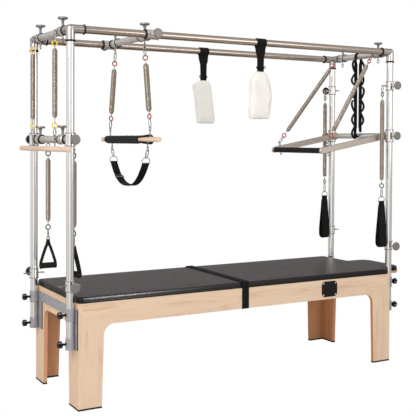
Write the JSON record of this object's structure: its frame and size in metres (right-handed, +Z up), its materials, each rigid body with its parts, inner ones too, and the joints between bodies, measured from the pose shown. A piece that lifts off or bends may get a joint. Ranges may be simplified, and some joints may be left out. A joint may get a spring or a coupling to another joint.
{
  "type": "pilates trapeze table",
  "caption": "Padded exercise table with a steel canopy, sliding crossbars, spring-hung trapeze, roll-down and push-through bars, handles, foot loops, cuffs and hand loops.",
  "frame": {"origin": "on the floor under the middle of the whole object", "axes": "+X along the table, from the roll-down end towards the push-through end; +Y from the front side to the rear side; +Z up"},
  "size_m": [2.6434, 0.874, 2.22],
  "materials": {
    "maple": "satin lacquer",
    "vinyl": "semi-gloss vinyl",
    "webbing": "matte woven",
    "plate": "satin",
    "bracket": "satin",
    "steel_tube": "polished",
    "casting": "cast satin",
    "spring_steel": "satin",
    "foam": "closed-cell foam",
    "fleece": "soft pile"
  },
  "bodies": {
    "table_and_canopy": {"front_side_panel": "maple", "rear_side_panel": "maple", "left_end_panel": "maple", "right_end_panel": "maple", "deck_board": "maple", "extension_board": "maple", "left_mattress": "vinyl", "right_mattress": "vinyl", "extension_pad": "vinyl", "mattress_strap": "webbing", "rail_plate": "plate", "left_bracket": "bracket", "right_bracket": "bracket", "front_left_post": "steel_tube", "rear_left_post": "steel_tube", "front_right_post": "steel_tube", "rear_right_post": "steel_tube", "front_canopy_tube": "steel_tube", "rear_canopy_tube": "steel_tube", "front_left_elbow": "steel_tube", "rear_left_elbow": "steel_tube", "front_right_elbow": "steel_tube", "rear_right_elbow": "steel_tube", "push_bar_crossbar": "steel_tube", "left_end_bar": "casting", "right_end_bar": "casting"},
    "carriage": {"trapeze_carriage": "casting"},
    "trapeze": {"front_trapeze_spring": "spring_steel", "rear_trapeze_spring": "spring_steel", "trapeze_bar": "maple", "trapeze_cover": "foam"},
    "sling": {"sling": "webbing"},
    "crossbar": {"left_crossbar": "casting"},
    "front_handle_set": {"front_handle_spring": "spring_steel", "front_handle": "webbing"},
    "rear_handle_set": {"rear_handle_spring": "spring_steel", "rear_handle": "webbing"},
    "roll_down": {"front_roll_down_spring": "spring_steel", "rear_roll_down_spring": "spring_steel", "roll_down_bar": "maple"},
    "push_bar": {"push_bar_frame": "steel_tube", "push_bar_grip": "foam"},
    "push_springs": {"front_push_spring": "spring_steel", "rear_push_spring": "spring_steel"},
    "push_links": {"front_push_link": "spring_steel", "rear_push_link": "spring_steel"},
    "front_foot_set": {"front_foot_spring": "spring_steel", "front_foot_loop": "webbing"},
    "rear_foot_set": {"rear_foot_spring": "spring_steel", "rear_foot_loop": "webbing"},
    "front_cuff": {"front_fleece_cuff": "fleece"},
    "rear_cuff": {"rear_fleece_cuff": "fleece"},
    "hand_loops": {"loop_strap": "webbing"},
    "front_left_collar": {"front_left_collar": "casting"},
    "rear_left_collar": {"rear_left_collar": "casting"},
    "front_right_low_collar": {"front_right_low_collar": "casting"},
    "rear_right_low_collar": {"rear_right_low_collar": "casting"},
    "front_right_high_collar": {"front_right_high_collar": "casting"},
    "rear_right_high_collar": {"rear_right_high_collar": "casting"}
  },
  "joints": [
    {"name": "carriage_slide", "type": "slide", "parent": "table_and_canopy", "child": "carriage", "axis": [1, 0, 0], "range_m": [-0.18, 0.45]},
    {"name": "trapeze_swing", "type": "hinge", "parent": "carriage", "child": "trapeze", "pos_m": [-0.74765, 0, 2.075], "axis": [0, 1, 0], "range_deg": [-10, 10]},
    {"name": "sling_swing", "type": "hinge", "parent": "trapeze", "child": "sling", "pos_m": [-0.74765, 0, 1.456], "axis": [0, 1, 0], "range_deg": [-11.5, 11.5]},
    {"name": "crossbar_slide", "type": "slide", "parent": "table_and_canopy", "child": "crossbar", "axis": [0, 0, 1], "range_m": [-0.03, 0.45]},
    {"name": "rear_handle_swing", "type": "hinge", "parent": "crossbar", "child": "rear_handle_set", "pos_m": [-1.25065, 0.055, 1.475], "axis": [1, 0, 0], "range_deg": [-15, 15]},
    {"name": "front_handle_swing", "type": "hinge", "parent": "crossbar", "child": "front_handle_set", "pos_m": [-1.21364, -0.28499, 1.4675], "axis": [0.7341, -0.679, 0], "range_deg": [0, 20]},
    {"name": "roll_down_swing", "type": "hinge", "parent": "table_and_canopy", "child": "roll_down", "pos_m": [-1.29765, 0, 2.14], "axis": [0, 1, 0], "range_deg": [0, 60]},
    {"name": "push_bar_swing", "type": "hinge", "parent": "table_and_canopy", "child": "push_bar", "pos_m": [1.08335, 0, 1.559], "axis": [0, 1, 0], "range_deg": [-28, 0], "stiffness_Nm_per_rad": 60, "springref_deg": 14.32},
    {"name": "push_spring_swing", "type": "hinge", "parent": "table_and_canopy", "child": "push_springs", "pos_m": [1.03635, 0, 2.14], "axis": [0, 1, 0], "range_deg": [-13, 0.5]},
    {"name": "push_link_slide", "type": "slide", "parent": "push_springs", "child": "push_links", "axis": [-0.5926, 0, -0.8055], "range_m": [-0.001, 0.18], "deforming": ["front_push_spring", "rear_push_spring"]},
    {"name": "front_left_collar_slide", "type": "slide", "parent": "table_and_canopy", "child": "front_left_collar", "axis": [0, 0, 1], "range_m": [-0.05, 0.02]},
    {"name": "rear_left_collar_slide", "type": "slide", "parent": "table_and_canopy", "child": "rear_left_collar", "axis": [0, 0, 1], "range_m": [-0.035, 0.4]},
    {"name": "front_right_low_collar_slide", "type": "slide", "parent": "table_and_canopy", "child": "front_right_low_collar", "axis": [0, 0, 1], "range_m": [-0.18, 0.5]},
    {"name": "rear_right_low_collar_slide", "type": "slide", "parent": "table_and_canopy", "child": "rear_right_low_collar", "axis": [0, 0, 1], "range_m": [-0.22, 0.45]},
    {"name": "front_right_high_collar_slide", "type": "slide", "parent": "table_and_canopy", "child": "front_right_high_collar", "axis": [0, 0, 1], "range_m": [-0.12, 0.12]},
    {"name": "rear_right_high_collar_slide", "type": "slide", "parent": "table_and_canopy", "child": "rear_right_high_collar", "axis": [0, 0, 1], "range_m": [-0.12, 0.12]},
    {"name": "front_foot_swing", "type": "hinge", "parent": "front_right_high_collar", "child": "front_foot_set", "pos_m": [1.01735, -0.325, 1.906], "axis": [1, 0, 0], "range_deg": [-22, 0]},
    {"name": "rear_foot_swing", "type": "hinge", "parent": "rear_right_high_collar", "child": "rear_foot_set", "pos_m": [1.01735, 0.325, 1.906], "axis": [1, 0, 0], "range_deg": [0, 22]},
    {"name": "front_cuff_swing", "type": "hinge", "parent": "table_and_canopy", "child": "front_cuff", "pos_m": [0.00835, -0.325, 2.14], "axis": [1, 0, 0], "range_deg": [-35, 35]},
    {"name": "rear_cuff_swing", "type": "hinge", "parent": "table_and_canopy", "child": "rear_cuff", "pos_m": [-0.04365, 0.325, 2.14], "axis": [1, 0, 0], "range_deg": [-35, 35]},
    {"name": "hand_loops_swing", "type": "hinge", "parent": "table_and_canopy", "child": "hand_loops", "pos_m": [1.08335, 0.019, 2.14], "axis": [0, 1, 0], "range_deg": [0, 12]}
  ],
  "couplings": [
    {"joint": "push_spring_swing", "follows": "push_bar_swing", "ratio": 0.447},
    {"joint": "push_link_slide", "follows": "push_bar_swing", "m_per_rad": -0.35}
  ]
}
